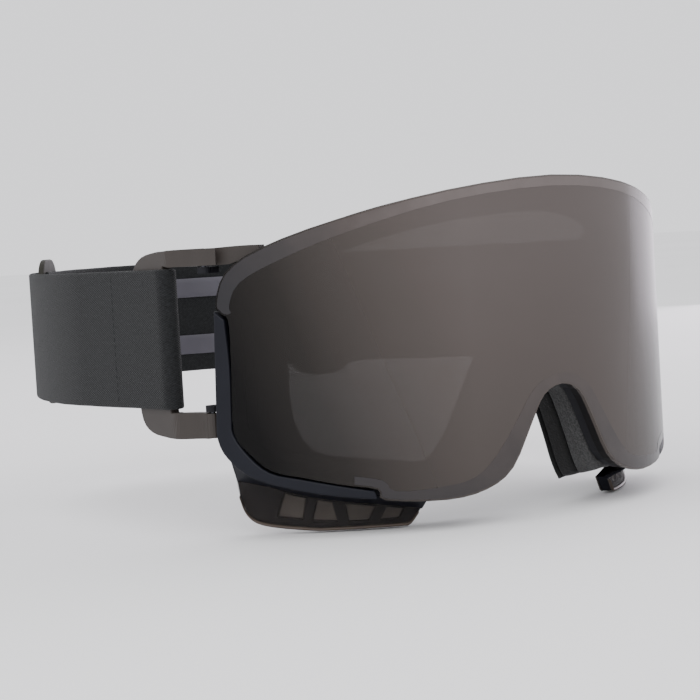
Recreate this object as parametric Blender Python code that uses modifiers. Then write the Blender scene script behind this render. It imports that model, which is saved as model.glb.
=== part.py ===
"""Ski goggles: a wide cylindrical double lens on a soft frame with face foam, lens latches, chin vents,
hinged outriggers and an elastic strap with two slider buckles.

Sizes are in millimetres and are turned into metres as each mesh is made. Until the last step everything
is laid out about the lens cylinder: its axis is the Z axis, the front of the goggles faces -Y and the
wearer's left is +X. A sketch point on the lens is (degrees round the cylinder from the front, height).
"""

from math import cos, exp, hypot, pi, radians, sin, sqrt

import bmesh
import bpy
from mathutils import Matrix, Vector

MM = 0.001

# Placing: the finished goggles stand with their box centred on the origin and their base at zero.
SHIFT_Y = -9.6
SHIFT_Z = 52.0

# Layers of the lens and the frame, as radii about the lens axis.
OUTER_LENS = (98.9, 100.0)
SPACER = (96.9, 98.6)
INNER_LENS = (95.9, 96.6)
RIM = (95.9, 98.6)
FRAME = (92.9, 95.6)
LATCH = (96.2, 100.0)
FOAM_FRONT = 92.35
SHOULDER = (89.5, 95.3)
CHIN_VENT = (83.5, 86.5)
CHIN_SCREEN = (84.6, 85.5)
GAP = 0.35
RIM_INSET = 0.5
SPACER_INSET = 3.2
FRAME_INSET = 0.8
EDGE_ROUND = 0.5

# The face surface that the foam ends on is a cylinder about an axis behind the lens axis.
FACE_RADIUS = 88.0
FACE_AXIS_Y = 11.4
FACE_TAPER = 0.94
CHEEK_DROP = 3.3
CHEEK_DROP_FROM = -15.0
CHEEK_DROP_SPAN = 20.0
NOSE_CORNER_DROP = 4.0
NOSE_CORNER_ANGLE = 12.8
NOSE_CORNER_SPREAD = 3.4
NOSE_CORNER_FROM = -30.0
NOSE_CORNER_SPAN = 8.0
SEAL_TRIM = 0.6
FOAM_BASE = (0.0, 0.48)
FOAM_FACE = (0.51, 0.92)
FLEECE = (0.95, 1.0)

# Half outlines for the wearer's left side, from the top centre round to the bottom centre.
GOGGLE_EDGE = [(0, 46.0), (20, 43.2), (38, 36.9), (51, 30.0), (57.2, 23.6), (59.5, 13.2), (60.2, -6),
               (60.4, -23.5), (57.4, -31.2), (47, -38.8), (34, -42.4), (23, -43.9), (16, -42.0),
               (11, -36.7), (7, -25.0), (4, -16.9), (0, -14.3)]
EYE_OPENING = [(0, 36.0), (18, 34.6), (33, 30.0), (43, 24.0), (47, 17.5), (48.2, 9.0), (48.4, -6),
               (48.0, -19), (45.0, -28.0), (38.5, -30.6), (30, -32.3), (24.5, -33.0), (19.5, -30.8),
               (15.2, -23.8), (11.3, -13.2), (7.0, -2.6), (0, 2.0)]
LENS_EDGE = [(0, 46.0), (20, 43.2), (38, 36.9), (51, 30.0), (57.2, 23.6), (59.2, 15.0), (58.3, 12.0),
             (57.1, 9.6), (57.15, -5), (57.35, -21.5), (54.6, -28.2), (51.3, -32.8), (46.5, -34.9),
             (40, -37.5), (34.4, -39.4), (33.2, -42.6), (23, -43.9), (16, -42.0), (11, -36.7),
             (7, -25.0), (4, -16.9), (0, -14.3)]
LENS_WINDOW = [(0, 42.8), (19.5, 40.2), (36.5, 33.2), (48.2, 26.2), (54.8, 20.6), (56.8, 14.4),
               (56.2, 11.4), (55.3, 8.6), (55.2, -5), (55.2, -20.4), (52.6, -26.6), (49.6, -30.4),
               (45.3, -32.4), (39, -35.0), (33.4, -37.0), (31.4, -40.3), (24, -40.1), (18.2, -38.4),
               (13.9, -32.6), (9.4, -22.4), (5.6, -14.2), (0, -11.1)]
LATCH_OUTER = [(59.7, 13.0), (60.1, -2.8), (60.4, -16.7), (60.4, -23.6), (58.7, -29.2), (54.3, -35.0),
               (47, -38.7), (40.3, -41.0), (34.4, -42.25)]
LATCH_INNER = [(57.9, 10.4), (57.45, -3), (57.65, -16.8), (57.5, -22.3), (54.95, -28.7),
               (51.6, -33.4), (46.8, -35.4), (40, -38.0), (34.8, -39.85)]
LATCH_HINGE = (96.4, 60.0)
CHIN_TOP = [(61.0, -36.4), (58.5, -37.0), (54, -38.4), (47, -41.3), (40, -43.3), (33, -44.8),
            (28, -46.0), (25.4, -46.8)]
CHIN_BOTTOM = [(60.5, -41.5), (59.2, -46.4), (56.0, -49.4), (47, -51.2), (40, -52.0), (32, -52.0),
               (28.4, -51.6), (26.2, -48.2)]
CHIN_BASE = -52.0
SHOULDER_TOP = [(52.0, 30.9), (55, 31.0), (57.5, 30.9), (60.65, 30.7)]
SHOULDER_FOOT = [(52.0, 29.6), (55, 27.3), (57.5, 25.9), (60.65, 25.9)]

# Chin vent windows between a top and a bottom rail, with struts that lean alternate ways:
# the far and near ends of each window, along its top and along its bottom.
WINDOWS = [((51.8, 47.4), (53.5, 48.2)), ((45.4, 42.4), (46.6, 41.6)),
           ((40.2, 34.2), (39.6, 35.6)), ((32.2, 28.8), (33.6, 29.8))]
TOP_RAIL = 1.2
BOTTOM_RAIL = 2.3
CUT_REACH = 2.3
SCREEN_SHRINK = 0.12

# Outrigger: a flat C that carries the strap, on a plane beside the face.
OUTRIGGER_X = 90.0
OUTRIGGER_THICK = 3.0
OUTRIGGER_ROUND = 0.9
BAR_FRONT_Y = -33.6
OUTRIGGER_OUTER = [(-45.2, 30.8), (-42, 30.8), (-38, 30.8), (-34, 30.6), (-30, 30.4), (-23, 29.2),
                   (-18.6, 26.0), (-17.2, 20), (-17.0, 5), (-17.2, -10), (-18.6, -18.2), (-23, -21.8),
                   (-30, -23.0), (-34, -23.3), (-38, -23.4), (-42, -23.4), (-45.2, -23.4)]
OUTRIGGER_INNER = [(-45.2, 25.8), (-42, 25.8), (-38, 25.9), (-36, 25.9), (-35.2, 26.0), (-33.6, 26.0),
                   (-33.6, 22), (-33.6, 16), (-33.6, 5), (-33.6, -6), (-33.6, -12), (-33.6, -15.6),
                   (-35.2, -15.7), (-36, -15.8), (-38, -15.8), (-42, -15.9), (-45.2, -16.0)]
HINGE_X = 84.9
HINGE_Y = -45.2
KNUCKLE_RADIUS = 2.0
KNUCKLE_TRIM = 0.2
PIN_RADIUS = 0.8
PIN_CLEARANCE = 0.08
LUG_HEIGHT = 1.8
LUG_GAP = 0.3
LUG_WEB_REACH = 4.3
LUG_WEB_FRONT = 1.2
LUG_WEB_BACK = 1.6
PIN_RECESS = 0.1
ARM_LEAN_GAP = 1.5
ARM_LEAN_LENGTH = 8.5
ARM_HINGE_SHIFT = 0.6

# Strap: a closed loop in plan, straight beside the face and half an ellipse behind it.
STRAP_HALF_WIDTH = 92.5
STRAP_STRAIGHT_END_Y = 10.0
STRAP_DEPTH = 113.4
STRAP_ROUNDNESS = 1.78
STRAP_LOW = -14.8
STRAP_HIGH = 25.4
STRAP_THICK = 1.4
SEAM_END_Y = -3.5
SEWN_OVERLAP_Y = (-4.5, -7.5)
FOLD_MEETS_RUN_Y = -20.0
FOLD_LEAVES_RUN_Y = -14.0
SLIDER_PLACE = 69.3
SLIDER_LENGTH = 24.5
SLIDER_REACH = 4.2
SLIDER_THICK = 2.0
SLIDER_CORNER = 8.5
SLIDER_SLOT = (2.4, 8.0)
LAYER_GAP = 0.3
CURVE_GAP = 1.2
FOLD_EASE = 0.75
STRAP_OVERLAP = 16.0
GRIP_WIDTH = 7.0
GRIP_THICK = 0.5
GRIP_OFFSET = 10.4
GRIP_CLEAR = 0.05
GRIP_FRONT_END = 12.0
GRIP_BACK_END = 7.5
GRIP_SIDE_END = 6.0

SIDES = {"right": -1, "left": 1}

COLOURS = {
    "outer_lens": ((0.10, 0.085, 0.085), 0.08, 0.0),
    "inner_lens": ((0.30, 0.29, 0.29), 0.1, 0.0),
    "lens_rim": ((0.115, 0.10, 0.105), 0.35, 0.0),
    "lens_spacer": ((0.03, 0.03, 0.03), 0.9, 0.0),
    "face_frame": ((0.02, 0.02, 0.024), 0.5, 0.0),
    "foam_base": ((0.037, 0.037, 0.037), 0.95, 0.0),
    "foam_face": ((0.008, 0.008, 0.008), 1.0, 0.0),
    "fleece": ((0.006, 0.006, 0.006), 1.0, 0.0),
    "latch": ((0.018, 0.019, 0.028), 0.3, 0.0),
    "chin_vent": ((0.02, 0.022, 0.03), 0.4, 0.0),
    "chin_screen": ((0.062, 0.055, 0.047), 0.6, 0.0),
    "outrigger": ((0.088, 0.077, 0.071), 0.4, 0.0),
    "pin": ((0.5, 0.5, 0.5), 0.3, 1.0),
    "strap": ((0.043, 0.05, 0.052), 0.9, 0.0),
    "grip": ((0.105, 0.105, 0.125), 0.7, 0.0),
    "slider": ((0.092, 0.09, 0.07), 0.4, 0.0),
}


def clear_scene():
    for old in list(bpy.data.objects):
        bpy.data.objects.remove(old, do_unlink=True)


def make_collection(name):
    group = bpy.data.collections.new(name)
    bpy.context.scene.collection.children.link(group)
    return group


def make_material(name):
    colour, roughness, metallic = COLOURS[name]
    material = bpy.data.materials.new(name)
    material.use_nodes = True
    shader = material.node_tree.nodes["Principled BSDF"]
    shader.inputs["Base Color"].default_value = (*colour, 1.0)
    shader.inputs["Roughness"].default_value = roughness
    shader.inputs["Metallic"].default_value = metallic
    material.diffuse_color = (*colour, 1.0)
    return material


def smooth_curve(points, steps=3):
    """Points on a smooth curve through the sketch points, with the ends kept."""
    ends = [points[0]] + list(points) + [points[-1]]
    curve = []
    for a, b, c, d in zip(ends, ends[1:], ends[2:], ends[3:]):
        for step in range(steps):
            t = step / steps
            curve.append(tuple(
                0.5 * (2 * q + (r - p) * t + (2 * p - 5 * q + 4 * r - s) * t ** 2
                       + (3 * q - p - 3 * r + s) * t ** 3)
                for p, q, r, s in zip(a, b, c, d)))
    return curve + [tuple(points[-1])]


def mirrored_loop(half, steps=3):
    """A closed outline from a half outline that starts and ends on the middle plane."""
    mirror = [(-angle, height) for angle, height in half]
    before, after = mirror[1:2], mirror[-2:-1]
    curve = smooth_curve(before + list(half) + after, steps)[steps:-steps]
    return curve + [(-angle, height) for angle, height in reversed(curve[1:-1])]


def inset(loop, distance):
    """The closed outline moved inward by a distance in millimetres on the lens surface."""
    scale = radians(OUTER_LENS[1])
    flat = [(angle * scale, height) for angle, height in loop]
    moved = []
    for before, here, after in zip(flat[-1:] + flat[:-1], flat, flat[1:] + flat[:1]):
        along = (after[0] - before[0], after[1] - before[1])
        length = hypot(*along)
        moved.append(((here[0] + along[1] / length * distance) / scale,
                      here[1] - along[0] / length * distance))
    return moved


def wrap(radius, angle, height):
    turn = radians(angle)
    return Vector((radius * sin(turn), -radius * cos(turn), height))


def blend(a, b, share):
    return tuple(p + (q - p) * share for p, q in zip(a, b))


def face_point(angle, height):
    """Where the foam that starts at a point of the frame meets the face."""
    front = wrap(FOAM_FRONT, angle, height)
    x = front.x * FACE_TAPER
    y = FACE_AXIS_Y - sqrt(FACE_RADIUS ** 2 - x ** 2)
    drop = CHEEK_DROP * min(1.0, max(0.0, CHEEK_DROP_FROM - height) / CHEEK_DROP_SPAN)
    return Vector((x, y, height - drop))


def corner_drop(angle, height):
    """How far the seal reaches below the frame at the two lower corners beside the nose."""
    beside = exp(-((abs(angle) - NOSE_CORNER_ANGLE) / NOSE_CORNER_SPREAD) ** 2)
    below = min(1.0, max(0.0, NOSE_CORNER_FROM - height) / NOSE_CORNER_SPAN)
    return NOSE_CORNER_DROP * beside * below


def foam_point(angle, height, share):
    lower = height - corner_drop(angle, height)
    return wrap(FOAM_FRONT, angle, lower).lerp(face_point(angle, lower), share)


def face_outward(build):
    """Turns every face of a closed body outward."""
    bmesh.ops.recalc_face_normals(build, faces=build.faces)
    if build.calc_volume(signed=True) < 0:
        bmesh.ops.reverse_faces(build, faces=build.faces)


def loft(name, sections, material, closed=False, smooth=60):
    """A solid skinned over sections that all have the same number of points."""
    mesh = bpy.data.meshes.new(name)
    build = bmesh.new()
    rings = [[build.verts.new(point) for point in section] for section in sections]
    pairs = list(zip(rings, rings[1:] + rings[:1]))
    for ring, following in pairs if closed else pairs[:-1]:
        for i in range(len(ring)):
            j = (i + 1) % len(ring)
            build.faces.new((ring[i], ring[j], following[j], following[i]))
    if not closed:
        build.faces.new(rings[0])
        build.faces.new(rings[-1])
    face_outward(build)
    build.to_mesh(mesh)
    build.free()
    return add_object(name, mesh, material, smooth)


def add_object(name, mesh, material, smooth=60):
    thing = bpy.data.objects.new(name, mesh)
    GOGGLES.objects.link(thing)
    mesh.materials.append(material)
    mesh.shade_smooth()
    mesh.set_sharp_from_angle(angle=radians(smooth))
    return thing


def band(name, outer, inner, front_at, back_at, material, strips=2, closed=True):
    """A ring or strip between two matched outlines, from a front surface to a back surface."""
    sections = []
    for edge, hole in zip(outer, inner):
        across = [blend(edge, hole, k / strips) for k in range(strips + 1)]
        sections.append([front_at(*point) for point in across]
                        + [back_at(*point) for point in reversed(across)])
    return loft(name, sections, material, closed)


def layer(radius):
    return lambda angle, height: wrap(radius, angle, height)


def depth(share):
    return lambda angle, height: foam_point(angle, height, share)


def wrapped_plate(name, outline, radii, material, strip=4.0):
    """A plate of one outline between two radii: a flat sheet, cut into strips, thickened and wrapped."""
    build = bmesh.new()
    build.faces.new([build.verts.new((angle, height, radii[0])) for angle, height in outline])
    low = min(angle for angle, height in outline)
    high = max(angle for angle, height in outline)
    count = int((high - low) / strip) + 1
    for k in range(1, count):
        everything = build.verts[:] + build.edges[:] + build.faces[:]
        bmesh.ops.bisect_plane(build, geom=everything, plane_co=(low + (high - low) * k / count, 0, 0),
                               plane_no=(1, 0, 0), dist=1e-5)
    grown = bmesh.ops.extrude_face_region(build, geom=build.faces[:])["geom"]
    back = [item for item in grown if isinstance(item, bmesh.types.BMVert)]
    bmesh.ops.translate(build, verts=back, vec=(0, 0, radii[1] - radii[0]))
    for vert in build.verts:
        vert.co = wrap(vert.co.z, vert.co.x, vert.co.y)
    face_outward(build)
    mesh = bpy.data.meshes.new(name)
    build.to_mesh(mesh)
    build.free()
    return add_object(name, mesh, material, 30)


def sided(points, side):
    """Sketch points of the wearer's left side, on either side."""
    return [(angle * side, height) for angle, height in points]


def cylinder(name, radius, low, high, x, y, material=None, segments=16):
    """An upright round bar; with no material it is a helper for cutting or joining."""
    mesh = bpy.data.meshes.new(name)
    build = bmesh.new()
    place = Matrix.Translation((x, y, (low + high) / 2))
    bmesh.ops.create_cone(build, cap_ends=True, segments=segments, radius1=radius, radius2=radius,
                          depth=high - low, matrix=place)
    build.to_mesh(mesh)
    build.free()
    return add_object(name, mesh, material) if material else add_helper(name, mesh)


def box(name, low, high, material=None):
    mesh = bpy.data.meshes.new(name)
    build = bmesh.new()
    size = [b - a for a, b in zip(low, high)]
    middle = [(a + b) / 2 for a, b in zip(low, high)]
    place = Matrix.Translation(middle) @ Matrix.Diagonal((*size, 1.0))
    bmesh.ops.create_cube(build, size=1.0, matrix=place)
    face_outward(build)
    build.to_mesh(mesh)
    build.free()
    return add_object(name, mesh, material) if material else add_helper(name, mesh)


def add_helper(name, mesh):
    thing = bpy.data.objects.new(name, mesh)
    HELPERS.objects.link(thing)
    thing.hide_render = True
    thing.display_type = "WIRE"
    return thing


def combine(thing, helper, operation):
    change = thing.modifiers.new(helper.name, "BOOLEAN")
    change.operation = operation
    change.object = helper
    change.solver = "EXACT"


def soften(thing, width, segments=2, angle=40):
    """Rounds the edges of a moulded piece."""
    bevel = thing.modifiers.new("soft edges", "BEVEL")
    bevel.width = width
    bevel.segments = segments
    bevel.limit_method = "ANGLE"
    bevel.angle_limit = radians(angle)
    bevel.use_clamp_overlap = True


def build_lens(materials):
    """The outer lens, the carrier rim behind its edge, the foam spacer and the inner lens."""
    edge = mirrored_loop(LENS_EDGE)
    window = mirrored_loop(LENS_WINDOW)
    wrapped_plate("outer_lens", edge, OUTER_LENS, materials["outer_lens"])
    band("lens_rim", inset(edge, RIM_INSET), window, layer(RIM[1]), layer(RIM[0]), materials["lens_rim"])
    spacer_edge = inset(window, GAP)
    band("lens_spacer", spacer_edge, inset(window, SPACER_INSET), layer(SPACER[1]), layer(SPACER[0]),
         materials["lens_spacer"], strips=1)
    wrapped_plate("inner_lens", spacer_edge, INNER_LENS, materials["inner_lens"])


def build_frame(materials):
    """The soft frame ring and the three layers of the face seal behind it."""
    edge = mirrored_loop(GOGGLE_EDGE, 2)
    opening = mirrored_loop(EYE_OPENING, 2)
    rim = inset(edge, FRAME_INSET)
    band("face_frame", rim, opening, layer(FRAME[1]), layer(FRAME[0]), materials["face_frame"])
    seal = inset(rim, SEAL_TRIM)
    hole = inset(opening, -SEAL_TRIM)
    for name, material, span in (("foam_base", "foam_base", FOAM_BASE),
                                 ("foam_face", "foam_face", FOAM_FACE),
                                 ("face_fleece", "fleece", FLEECE)):
        band(name, seal, hole, depth(span[0]), depth(span[1]), materials[material])


def build_latch(side_name, side, materials):
    outer = smooth_curve(sided(LATCH_OUTER, side))
    inner = smooth_curve(sided(LATCH_INNER, side))
    latch = band("latch_" + side_name, outer, inner, layer(LATCH[1]), layer(LATCH[0]),
                 materials["latch"], strips=2, closed=False)
    soften(latch, EDGE_ROUND)


def window_outline(window, side):
    """One opening of a chin vent, kept clear of the two rails."""
    above, below = window
    top = [(angle, rail_height(CHIN_TOP, angle) - TOP_RAIL) for angle in above]
    bottom = [(angle, rail_height(CHIN_BOTTOM, angle) + BOTTOM_RAIL) for angle in reversed(below)]
    return sided(top + bottom, side)


def rail_height(edge, angle):
    """Height of a chin vent edge at an angle, along straight runs between its sketch points."""
    for (far, far_z), (near, near_z) in zip(edge, edge[1:]):
        if near <= angle <= far:
            return near_z + (far_z - near_z) * (angle - near) / (far - near)
    return edge[-1][1]


def build_chin_vent(side_name, side, materials):
    """A curved grille under the lens with a mesh screen set into it."""
    top = smooth_curve(sided(CHIN_TOP, side), 2)
    bottom = [(angle, max(height, CHIN_BASE)) for angle, height in smooth_curve(sided(CHIN_BOTTOM, side), 2)]
    vent = band("chin_vent_" + side_name, top, bottom, layer(CHIN_VENT[1]), layer(CHIN_VENT[0]),
                materials["chin_vent"], strips=1, closed=False)
    for place, window in enumerate(WINDOWS):
        outline = window_outline(window, side)
        front = [wrap(CHIN_VENT[1] + CUT_REACH, *point) for point in outline]
        back = [wrap(CHIN_VENT[0] - CUT_REACH, *point) for point in outline]
        combine(vent, prism(f"chin_cut_{side_name}_{place}", front, back), "DIFFERENCE")
        screen = [blend(point, centre(outline), SCREEN_SHRINK) for point in outline]
        loft(f"chin_screen_{side_name}_{place}", [[wrap(CHIN_SCREEN[1], *point) for point in screen],
                                                 [wrap(CHIN_SCREEN[0], *point) for point in screen]],
             materials["chin_screen"])


def centre(points):
    return tuple(sum(values) / len(points) for values in zip(*points))


def prism(name, front, back):
    """A helper solid skinned between two matched outlines."""
    mesh = bpy.data.meshes.new(name)
    build = bmesh.new()
    bottom = [build.verts.new(point) for point in front]
    top = [build.verts.new(point) for point in back]
    for i in range(len(front)):
        j = (i + 1) % len(front)
        build.faces.new((bottom[i], bottom[j], top[j], top[i]))
    build.faces.new(bottom)
    build.faces.new(top)
    face_outward(build)
    build.to_mesh(mesh)
    build.free()
    return add_helper(name, mesh)


def outrigger_x(y):
    """Distance of the outrigger's middle from the centre plane: its arms lean in towards the hinge."""
    share = min(1.0, max(0.0, (BAR_FRONT_Y - ARM_LEAN_GAP - y) / ARM_LEAN_LENGTH))
    lean = share * share * (3 - 2 * share)
    return OUTRIGGER_X + (HINGE_X + ARM_HINGE_SHIFT - OUTRIGGER_X) * lean


def build_outrigger(side_name, side, materials):
    """The C-shaped outrigger with a knuckle at the end of each arm, on its upright hinge line."""
    outer = smooth_curve(OUTRIGGER_OUTER)
    inner = smooth_curve(OUTRIGGER_INNER)
    half = OUTRIGGER_THICK / 2
    outrigger = band("outrigger_" + side_name, outer, inner,
                     lambda y, z: Vector((side * (outrigger_x(y) + half), y, z)),
                     lambda y, z: Vector((side * (outrigger_x(y) - half), y, z)),
                     materials["outrigger"], strips=1, closed=False)
    soften(outrigger, OUTRIGGER_ROUND)
    x = side * HINGE_X
    upper = (OUTRIGGER_INNER[0][1], OUTRIGGER_OUTER[0][1])
    lower = (OUTRIGGER_OUTER[-1][1], OUTRIGGER_INNER[-1][1])
    for place, (low, high) in (("upper", upper), ("lower", lower)):
        name = f"{place}_{side_name}"
        combine(outrigger, cylinder("knuckle_" + name, KNUCKLE_RADIUS, low + KNUCKLE_TRIM,
                                    high - KNUCKLE_TRIM, x, HINGE_Y), "UNION")
        combine(outrigger, cylinder("knuckle_bore_" + name, PIN_RADIUS + PIN_CLEARANCE, low - 1,
                                    high + 1, x, HINGE_Y), "DIFFERENCE")
        build_bracket(name, side, (low, high), place == "upper", materials)


def build_bracket(name, side, arm, below, materials):
    """A lug on the frame under or over an arm's knuckle, and the pin through both."""
    low = arm[0] - LUG_GAP - LUG_HEIGHT if below else arm[1] + LUG_GAP
    x = side * HINGE_X
    bracket = cylinder("hinge_bracket_" + name, KNUCKLE_RADIUS, low, low + LUG_HEIGHT, x, HINGE_Y,
                       materials["face_frame"])
    inner, outer = sorted((side * (HINGE_X - LUG_WEB_REACH), x))
    combine(bracket, box("bracket_web_" + name, (inner, HINGE_Y - LUG_WEB_FRONT, low),
                         (outer, HINGE_Y + LUG_WEB_BACK, low + LUG_HEIGHT)), "UNION")
    combine(bracket, cylinder("bracket_bore_" + name, PIN_RADIUS + PIN_CLEARANCE, low - 1,
                              low + LUG_HEIGHT + 1, x, HINGE_Y), "DIFFERENCE")
    ends = (low, arm[1]) if below else (arm[0], low + LUG_HEIGHT)
    cylinder("hinge_pin_" + name, PIN_RADIUS, ends[0] + PIN_RECESS, ends[1] - PIN_RECESS, x, HINGE_Y,
             materials["pin"])


def build_shoulder(side_name, side, materials):
    """A moulded wedge on the frame's upper corner that runs on from the outrigger's upper arm."""
    top = smooth_curve(sided(SHOULDER_TOP, side), 2)
    foot = smooth_curve(sided(SHOULDER_FOOT, side), 2)
    band("shoulder_" + side_name, top, foot,
         layer(SHOULDER[1]), layer(SHOULDER[0]), materials["outrigger"], strips=1, closed=False)


def strap_plan():
    """The strap loop's middle line in plan, a superellipse behind two straights, from right to left."""
    straight = [(-STRAP_HALF_WIDTH, SEAM_END_Y + (STRAP_STRAIGHT_END_Y - SEAM_END_Y) * k / 3)
                for k in range(3)]
    power = 2 / STRAP_ROUNDNESS
    arc = [(-STRAP_HALF_WIDTH * cos(pi * k / 240) ** power,
            STRAP_STRAIGHT_END_Y + STRAP_DEPTH * sin(pi * k / 240) ** power) for k in range(120)]
    half = straight + arc
    return half + [(0.0, STRAP_STRAIGHT_END_Y + STRAP_DEPTH)] + [(-x, y) for x, y in reversed(half)]


def strap_station(distance, offset=0.0):
    """The point, inward of the strap's middle by an offset, at a distance from the back's centre."""
    at = distance + PLAN_LENGTH / 2
    k = 0
    while k < len(PLAN) - 2 and at > PLAN_LENGTHS[k + 1]:
        k += 1
    span = PLAN_LENGTHS[k + 1] - PLAN_LENGTHS[k]
    share = (at - PLAN_LENGTHS[k]) / span
    along = Vector((PLAN[k + 1][0] - PLAN[k][0], PLAN[k + 1][1] - PLAN[k][1], 0)).normalized()
    inward = Vector((along.y, -along.x, 0))
    return Vector((*blend(PLAN[k], PLAN[k + 1], share), 0)) + inward * offset, along, inward


def webbing_section(point, inward, thick, low, high):
    """A strip's cross-section: an upright rectangle across the webbing."""
    out, back = point - inward * thick / 2, point + inward * thick / 2
    return [Vector((out.x, out.y, low)), Vector((out.x, out.y, high)),
            Vector((back.x, back.y, high)), Vector((back.x, back.y, low))]


def along_loop(first, last, count, offset, thick, low, high):
    stations = [strap_station(first + (last - first) * k / count, offset) for k in range(count + 1)]
    return [webbing_section(point, inward, thick, low, high) for point, along, inward in stations]


def fold_plan():
    """The webbing's middle line in plan round the outrigger's bar, from the sewn inner end outward."""
    reach = STRAP_HALF_WIDTH - OUTRIGGER_X
    middle = (-OUTRIGGER_X, BAR_FRONT_Y + OUTRIGGER_THICK / 2 - FOLD_EASE)
    turn = [(middle[0] + reach * cos(pi * k / 8), middle[1] - reach * sin(pi * k / 8)) for k in range(9)]
    sewn = -STRAP_HALF_WIDTH + STRAP_THICK + LAYER_GAP
    inner = [(sewn, y) for y in SEWN_OVERLAP_Y] + [(middle[0] + reach, FOLD_LEAVES_RUN_Y)]
    return inner + turn + [(-STRAP_HALF_WIDTH, FOLD_MEETS_RUN_Y)]


def plan_sections(plan, thick, low, high):
    """Cross-sections along a line in plan, each square to the line."""
    sections = []
    for before, here, after in zip(plan[:1] + plan[:-1], plan, plan[1:] + plan[-1:]):
        along = Vector((after[0] - before[0], after[1] - before[1], 0)).normalized()
        inward = Vector((along.y, -along.x, 0))
        sections.append(webbing_section(Vector((*here, 0)), inward, thick, low, high))
    return sections


def flip(sections, side):
    """Sections laid out for the wearer's right side, on either side."""
    return [[Vector((-side * p.x, p.y, p.z)) for p in section] for section in sections]


def build_strap(materials):
    """Two side straps folded round the outriggers, a back strap and the grip strips inside them."""
    reach = SLIDER_PLACE - STRAP_OVERLAP
    inner = STRAP_THICK + SLIDER_THICK + CURVE_GAP + LAYER_GAP
    grip_offset = STRAP_THICK / 2 + GRIP_THICK / 2 + GRIP_CLEAR
    for side_name, side in SIDES.items():
        fold = plan_sections(fold_plan(), STRAP_THICK, STRAP_LOW, STRAP_HIGH)
        run = along_loop(-PLAN_LENGTH / 2, -reach, 22, 0, STRAP_THICK, STRAP_LOW, STRAP_HIGH)
        loft("strap_" + side_name, flip(fold + run, side), materials["strap"])
    loft("strap_back", along_loop(-SLIDER_PLACE - STRAP_OVERLAP, SLIDER_PLACE + STRAP_OVERLAP, 26, inner,
                                  STRAP_THICK, STRAP_LOW, STRAP_HIGH), materials["strap"])
    middle = (STRAP_LOW + STRAP_HIGH) / 2
    for name, height in (("upper", middle + GRIP_OFFSET), ("lower", middle - GRIP_OFFSET)):
        low, high = height - GRIP_WIDTH / 2, height + GRIP_WIDTH / 2
        inside = SLIDER_PLACE - SLIDER_LENGTH / 2 - GRIP_BACK_END
        loft(f"grip_{name}_back", along_loop(-inside, inside, 16, inner + grip_offset, GRIP_THICK, low,
                                             high), materials["grip"])
        for side_name, side in SIDES.items():
            start = -SLIDER_PLACE - STRAP_OVERLAP - GRIP_SIDE_END
            front = -PLAN_LENGTH / 2 + GRIP_FRONT_END
            strip = along_loop(start, front, 12, grip_offset, GRIP_THICK, low, high)
            loft(f"grip_{name}_{side_name}", flip(strip, side), materials["grip"])


def rounded_rectangle(width, height, corner, steps=8):
    """Outline of a plate with round corners, about its middle."""
    outline = []
    for quarter, (x, z) in enumerate(((1, 1), (-1, 1), (-1, -1), (1, -1))):
        for step in range(steps + 1):
            turn = pi / 2 * (quarter + step / steps)
            outline.append((x * (width / 2 - corner) + corner * cos(turn),
                            z * (height / 2 - corner) + corner * sin(turn)))
    return outline


def build_slider(side_name, side, materials):
    """A flat buckle between the two layers of webbing, with a tab above and below and two slots."""
    point, along, inward = strap_station(-SLIDER_PLACE, (STRAP_THICK + SLIDER_THICK) / 2 + CURVE_GAP)
    middle = (STRAP_LOW + STRAP_HIGH) / 2
    tall = STRAP_HIGH - STRAP_LOW

    def plate(outline, thick):
        return flip([[point + along * u + inward * (face * thick / 2) + Vector((0, 0, middle + z))
                      for u, z in outline] for face in (-1, 1)], side)

    shape = rounded_rectangle(SLIDER_LENGTH, tall + 2 * SLIDER_REACH, SLIDER_CORNER)
    slider = loft("slider_" + side_name, plate(shape, SLIDER_THICK), materials["slider"])
    soften(slider, EDGE_ROUND)
    for place in (-1, 1):
        u = sorted(place * edge for edge in SLIDER_SLOT)
        slot = [(u[0], -tall / 2), (u[1], -tall / 2), (u[1], tall / 2), (u[0], tall / 2)]
        combine(slider, prism(f"slot_{side_name}_{place + 1}", *plate(slot, SLIDER_THICK * 2)), "DIFFERENCE")


def measure_plan():
    lengths = [0.0]
    for a, b in zip(PLAN, PLAN[1:]):
        lengths.append(lengths[-1] + hypot(b[0] - a[0], b[1] - a[1]))
    return lengths


def set_origin(thing, place):
    """Moves an object's origin to a place without moving its shape."""
    thing.data.transform(Matrix.Translation(-place))
    thing.location = place


def finish(things):
    """Turns millimetres into metres, and puts the goggles' base centre on the origin."""
    scale = Matrix.Diagonal((MM, MM, MM, 1.0)) @ Matrix.Translation((0, SHIFT_Y, SHIFT_Z))
    for thing in things:
        thing.data.transform(scale)
        for change in thing.modifiers:
            if change.type == "BEVEL":
                change.width *= MM


def place_origins():
    """Puts each moving piece's origin on its joint's line."""
    latch_hinge = wrap(*LATCH_HINGE, 0)
    for side_name, side in SIDES.items():
        set_origin(bpy.data.objects["outrigger_" + side_name],
                   Vector((side * HINGE_X, HINGE_Y + SHIFT_Y, SHIFT_Z)) * MM)
        set_origin(bpy.data.objects["latch_" + side_name],
                   Vector((side * latch_hinge.x, latch_hinge.y + SHIFT_Y, SHIFT_Z)) * MM)


PLAN = strap_plan()
PLAN_LENGTHS = measure_plan()
PLAN_LENGTH = PLAN_LENGTHS[-1]

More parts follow.
